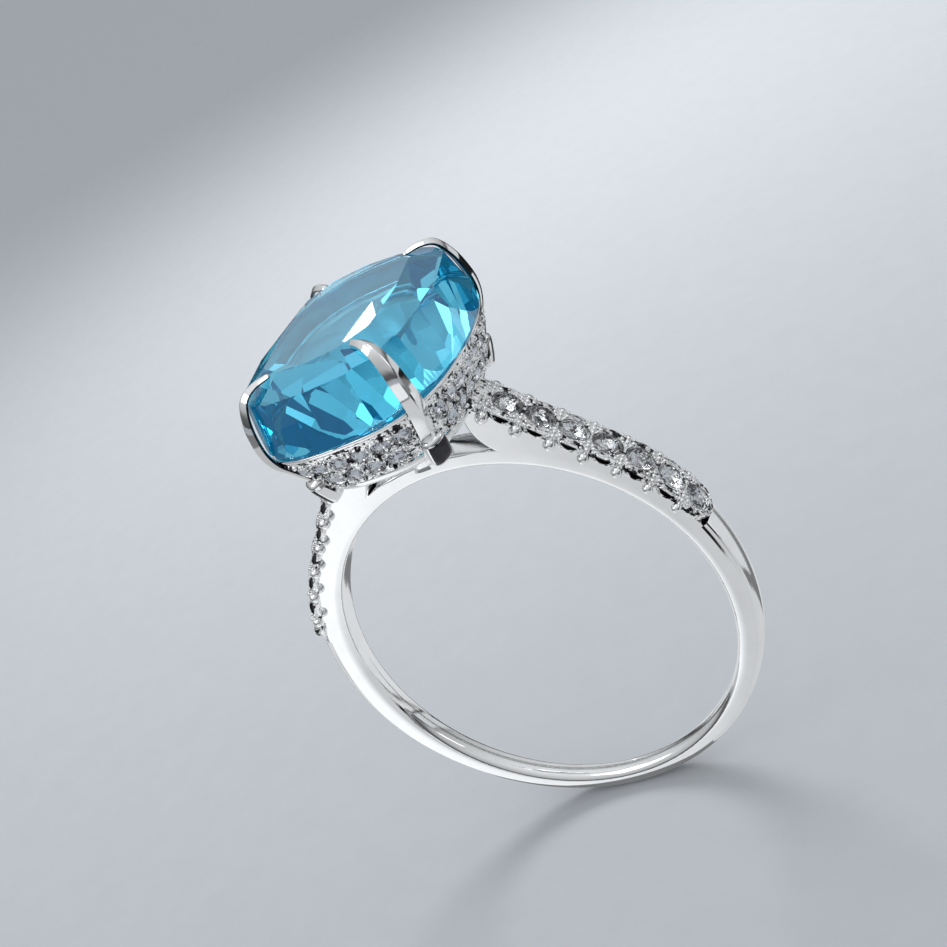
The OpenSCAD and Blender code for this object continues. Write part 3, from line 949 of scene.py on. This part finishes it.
def facet(bm, turn_deg, tilt_deg, distance, z):
    """Grinds one facet: its plane leans tilt from level and passes the plan distance at height z."""
    turn, tilt = math.radians(turn_deg), math.radians(tilt_deg)
    up = 1 if tilt_deg > 0 else -1
    normal = Vector((math.sin(abs(tilt)) * math.cos(turn), math.sin(abs(tilt)) * math.sin(turn),
                     up * math.cos(tilt)))
    point = Vector((distance * math.cos(turn), distance * math.sin(turn), z))
    made = bmesh.ops.bisect_plane(bm, geom=bm.verts[:] + bm.edges[:] + bm.faces[:], dist=1e-5,
                                  plane_co=point, plane_no=normal, clear_outer=True)
    rim = [g for g in made["geom_cut"] if isinstance(g, bmesh.types.BMEdge)]
    if rim:
        bmesh.ops.holes_fill(bm, edges=rim, sides=0)


def quadrants(turns):
    """The same facets in all four corners of the stone."""
    full = []
    for turn in turns:
        for t in {turn, 180 - turn, 180 + turn, 360 - turn}:
            full.append(t % 360)
    return sorted(set(full))


def build_stone():
    bm = bmesh.new()
    rings = [oval(STONE_A, STONE_B, CULET_Z), oval(STONE_A, STONE_B, TABLE_Z)]
    bridge_rings(bm, rings)
    clean(bm)
    girdle_top, girdle_low = GIRDLE_Z + GIRDLE_H / 2, GIRDLE_Z - GIRDLE_H / 2
    mid_a, mid_b, mid_z = 4.05, 5.15, 15.92
    table_a, table_b = 2.75, 3.8
    # Crown: steep lower tier, shallow upper tier, then the table
    for turn in quadrants((9, 38, 62, 82)):
        reach = support(STONE_A, STONE_B, math.radians(turn))
        inner = support(mid_a, mid_b, math.radians(turn))
        tilt = math.degrees(math.atan2(mid_z - girdle_top, reach - inner))
        facet(bm, turn, tilt, reach - 0.01, girdle_top)
    for turn in quadrants((6, 50, 80)):
        reach = support(mid_a, mid_b, math.radians(turn))
        inner = support(table_a, table_b, math.radians(turn))
        tilt = math.degrees(math.atan2(TABLE_Z - mid_z, reach - inner))
        facet(bm, turn, tilt, reach, mid_z)
    # Pavilion: a steep upper tier and a shallower lower tier down to a short keel
    for turn in quadrants((7, 24, 42, 58, 72, 84)):
        reach = support(STONE_A, STONE_B, math.radians(turn))
        facet(bm, turn, -46, reach - 0.01, girdle_low)
    for turn in quadrants((15, 33, 50, 65, 78)):
        reach = support(2.62, 3.66, math.radians(turn))
        facet(bm, turn, -41.5, reach - 0.07, 11.9)
    for turn in quadrants((0, 30, 55, 90)):
        reach = support(0.25, 1.3, math.radians(turn))
        facet(bm, turn, -37, reach, CULET_Z)
    clean(bm, 0.001)
    bmesh.ops.dissolve_limit(bm, angle_limit=math.radians(0.4), verts=bm.verts, edges=bm.edges)
    piece = write_mesh("blue_cushion", bm, [BLUE])
    place(piece, "blue_stone", "center_stone")


# ---------------------------------------------------------------- scene


def card(name, center, target, width, height, color, strength, visible=("glossy", "transmission")):
    """Flat panel that is seen only in reflections and through the stones."""
    center, target = Vector(center) * MM, Vector(target) * MM
    mesh = bpy.data.meshes.new(name)
    w, h = width * MM / 2, height * MM / 2
    mesh.from_pydata([(-w, -h, 0), (w, -h, 0), (w, h, 0), (-w, h, 0)], [], [(0, 1, 2, 3)])
    panel = bpy.data.objects.new(name, mesh)
    bpy.context.scene.collection.objects.link(panel)
    panel.location = center
    panel.rotation_euler = (center - target).to_track_quat("Z", "Y").to_euler()
    material = bpy.data.materials.new(name)
    material.use_nodes = True
    nodes = material.node_tree.nodes
    nodes.clear()
    emission = nodes.new("ShaderNodeEmission")
    emission.inputs["Color"].default_value = (*color, 1)
    emission.inputs["Strength"].default_value = strength
    output = nodes.new("ShaderNodeOutputMaterial")
    material.node_tree.links.new(emission.outputs["Emission"], output.inputs["Surface"])
    mesh.materials.append(material)
    panel.visible_camera = False
    panel.visible_diffuse = "diffuse" in visible
    panel.visible_glossy = "glossy" in visible
    panel.visible_transmission = "transmission" in visible
    panel.visible_shadow = False
    return panel


def corner_card(name, corners, strength):
    """Flat card with its four corners given in millimetres. Only mirror surfaces see it."""
    panel = card(name, (0, 0, 0), (0, 0, -1), 2, 2, (0.96, 0.98, 1), strength, ("glossy",))
    for vert, corner in zip(panel.data.vertices, corners):
        vert.co = Vector(corner) * MM
    panel.rotation_euler = (0, 0, 0)
    return panel


def floor_card(name, corners, strength, lift):
    """Corner card that lies just above the floor."""
    return corner_card(name, [(x, y, BOTTOM_Z + lift) for x, y in corners], strength)


def fade(panel, direction, span, strengths):
    """Lets a card's brightness run from one strength to the other over a span in millimetres."""
    tree = panel.data.materials[0].node_tree
    along = tree.nodes.new("ShaderNodeVectorMath")
    along.operation = "DOT_PRODUCT"
    tree.links.new(object_coordinates(tree, (1, 1, 1)), along.inputs[0])
    along.inputs[1].default_value = [part / MM for part in direction]
    level = to_range(tree, along.outputs["Value"], *strengths, *span)
    tree.links.new(level, tree.nodes["Emission"].inputs["Strength"])


def softbox(name, center, target, width, height, power):
    light = bpy.data.lights.new(name, "AREA")
    light.shape = "RECTANGLE"
    light.size = width * MM
    light.size_y = height * MM
    light.energy = power
    lamp = bpy.data.objects.new(name, light)
    bpy.context.scene.collection.objects.link(lamp)
    lamp.location = Vector(center) * MM
    lamp.visible_glossy = False
    lamp.rotation_euler = ((Vector(center) - Vector(target)) * MM).to_track_quat("Z", "Y").to_euler()
    return lamp


def build_floor():
    bm = bmesh.new()
    bmesh.ops.create_grid(bm, x_segments=24, y_segments=24, size=3000)
    for vert in bm.verts:
        vert.co.z = BOTTOM_Z
    material, tree, shader = new_material("pale_floor")
    grain = noise(tree, object_coordinates(tree, (600, 600, 600)), 3.0)
    mix = tree.nodes.new("ShaderNodeMix")
    mix.data_type = "RGBA"
    mix.inputs["A"].default_value = (0.52, 0.54, 0.57, 1)
    mix.inputs["B"].default_value = (0.56, 0.58, 0.61, 1)
    tree.links.new(grain, mix.inputs["Factor"])
    tree.links.new(mix.outputs["Result"], shader.inputs["Base Color"])
    shader.inputs["Roughness"].default_value = 0.9
    shader.inputs["Specular IOR Level"].default_value = 0.0
    write_mesh("floor", bm, [material], 30)


PALE = (0.43, 0.445, 0.47, 1)
AMBIENT = (0.66, 0.68, 0.7, 1)
# Height above the horizon, from 0 to 1, and the brightness there
MIRROR_SKY = ((0.0, 0.07), (0.1, 0.12), (0.22, 0.45), (0.5, 0.6), (1.0, 0.85))
STONE_SKY = ((0.0, 0.1), (0.15, 0.12), (0.25, 0.42), (0.5, 0.62), (1.0, 0.95))


def build_world():
    world = bpy.data.worlds.new("studio")
    bpy.context.scene.world = world
    world.use_nodes = True
    tree = world.node_tree
    background = tree.nodes["Background"]
    coordinates = tree.nodes.new("ShaderNodeTexCoord")
    split = tree.nodes.new("ShaderNodeSeparateXYZ")
    path = tree.nodes.new("ShaderNodeLightPath")
    tree.links.new(coordinates.outputs["Generated"], split.inputs["Vector"])

    def sky(stops):
        node = tree.nodes.new("ShaderNodeValToRGB")
        elements = node.color_ramp.elements
        while len(elements) < len(stops):
            elements.new(0.5)
        for element, (position, level) in zip(elements, stops):
            element.position = position
            element.color = (0.96 * level, 0.98 * level, level, 1)
        tree.links.new(split.outputs["Z"], node.inputs["Fac"])
        return node.outputs["Color"]

    def choose(base, other, ray):
        mix = tree.nodes.new("ShaderNodeMix")
        mix.data_type = "RGBA"
        tree.links.new(base, mix.inputs["A"])
        if isinstance(other, tuple):
            mix.inputs["B"].default_value = other
        else:
            tree.links.new(other, mix.inputs["B"])
        tree.links.new(path.outputs[ray], mix.inputs["Factor"])
        return mix.outputs["Result"]

    mirrors = sky(MIRROR_SKY)
    stones = sky(STONE_SKY)
    color = choose(mirrors, stones, "Is Transmission Ray")
    color = choose(color, AMBIENT, "Is Diffuse Ray")
    color = choose(color, PALE, "Is Camera Ray")
    tree.links.new(color, background.inputs["Color"])
    background.inputs["Strength"].default_value = 1.0


# Camera fitted to the photo's view
LENS = 68.43
CAMERA_AT = (36.34, -58.29, 37.15)
CAMERA_AXES = ((0.83127, 0.24950, -0.49674), (0.29175, 0.56482, 0.77192), (0.47316, -0.78659, 0.39672))


def build_camera():
    data = bpy.data.cameras.new("camera")
    data.sensor_width = 36
    data.lens = LENS
    data.clip_start = 0.001
    data.clip_end = 20
    camera = bpy.data.objects.new("camera", data)
    bpy.context.scene.collection.objects.link(camera)
    turned = Matrix(CAMERA_AXES).transposed().to_4x4()
    camera.matrix_world = Matrix.Translation(Vector(CAMERA_AT) * MM) @ turned
    bpy.context.scene.camera = camera


def build_lights():
    softbox("back_key", (-25, 120, 95), (0, 0, 0), 80, 50, 0.12)
    card("front_left_softbox", (-75, -60, 120), (0, 0, 0), 100, 70, (1, 1, 1), 2.4)
    card("top_softbox", (30, 10, 150), (0, 0, 0), 90, 60, (1, 1, 1), 1.8)
    corner_card("table_wedge_card",
                ((-74.9, 116, 61.7), (-69.2, 116, 61.9), (-68, 116, 59.8), (-67.4, 116, 58)), 5.0)
    card("back_softbox", (-70, 118, 62), (0, 0, 12), 90, 34, (0.94, 0.97, 1), 0.7)
    card("right_softbox", (140, 30, 60), (0, 0, 5), 70, 40, (1, 1, 1), 1.2)
    card("horizon_card", (130, 160, 5), (0, 0, 0), 150, 50, (0.95, 0.98, 1), 0.65, ("glossy",))
    # Floor cards: the higher ones cover the lower ones
    floor_card("base_floor_card", ((-200, -200), (200, -200), (200, 200), (-200, 200)), 0.2, 0.03)
    floor_card("outline_floor_card", ((-26, 30), (0, 30), (40, 90), (-80, 90)), 0.01, 0.04)
    floor_card("far_floor_card", ((-200, 90), (200, 90), (200, 200), (-200, 200)), 0.01, 0.04)
    floor_card("groove_floor_card", ((24, -40), (70, -40), (70, -10), (30, -10)), 0.01, 0.05)
    floor_card("west_floor_card", ((-90, -49), (-44, -49), (-8, 0), (-90, 0)), 0.5, 0.06)
    white = floor_card("white_floor_card", ((-44, -49), (40, -49), (16, -1.5), (-16, -1.5)), 0.85, 0.07)
    fade(white, (1, -0.571, 0), (-9, 9), (1.1, 0.62))
    floor_card("claw_floor_card", ((-60, -260), (120, -260), (24, -56), (-18, -56)), 0.9, 0.07)
    floor_card("back_floor_card", ((-18, 2), (4, 2), (57, 90), (34, 90)), 0.75, 0.08)
    floor_card("left_floor_card", ((-90, 0), (-8, 0), (-26, 40), (-90, 40)), 0.7, 0.09)
    floor_card("side_floor_card", ((4, -2), (40, -18), (40, 10), (6, 8)), 0.65, 0.1)
    floor_card("outer_floor_card", ((14, 11), (40, 11), (90, 70), (60, 85)), 0.7, 0.11)
    floor_card("right_floor_card", ((42, 0), (80, 0), (80, 40), (42, 40)), 0.8, 0.12)


build_camera()
build_world()
build_floor()
build_lights()
build_hoop()
for side_name, side_matrix in SIDES:
    build_shoulder(side_name, side_matrix)
    build_deck(side_name, side_matrix)
    build_prongs(side_name, side_matrix)
    build_deck_stones(side_name, side_matrix)
build_rail("lower_rail_bar", "lower_rail", LOW_Z, LOW_Z + RAIL_H, RAIL_T, 0.16)
build_rail("upper_rail_bar", "upper_rail", HIGH_Z + 0.16, HIGH_Z + RAIL_H, RAIL_T - 0.15, 0.11)
build_base()
build_gallery()
for x_name, x_sign in (("right", 1), ("left", -1)):
    for y_name, y_sign in (("front", -1), ("back", 1)):
        build_claw(f"talon_{y_name}_{x_name}", f"claw_{y_name}_{x_name}",
                   Matrix.Diagonal((x_sign, y_sign, 1, 1)))
build_stone()
bpy.context.scene.view_settings.view_transform = "Standard"
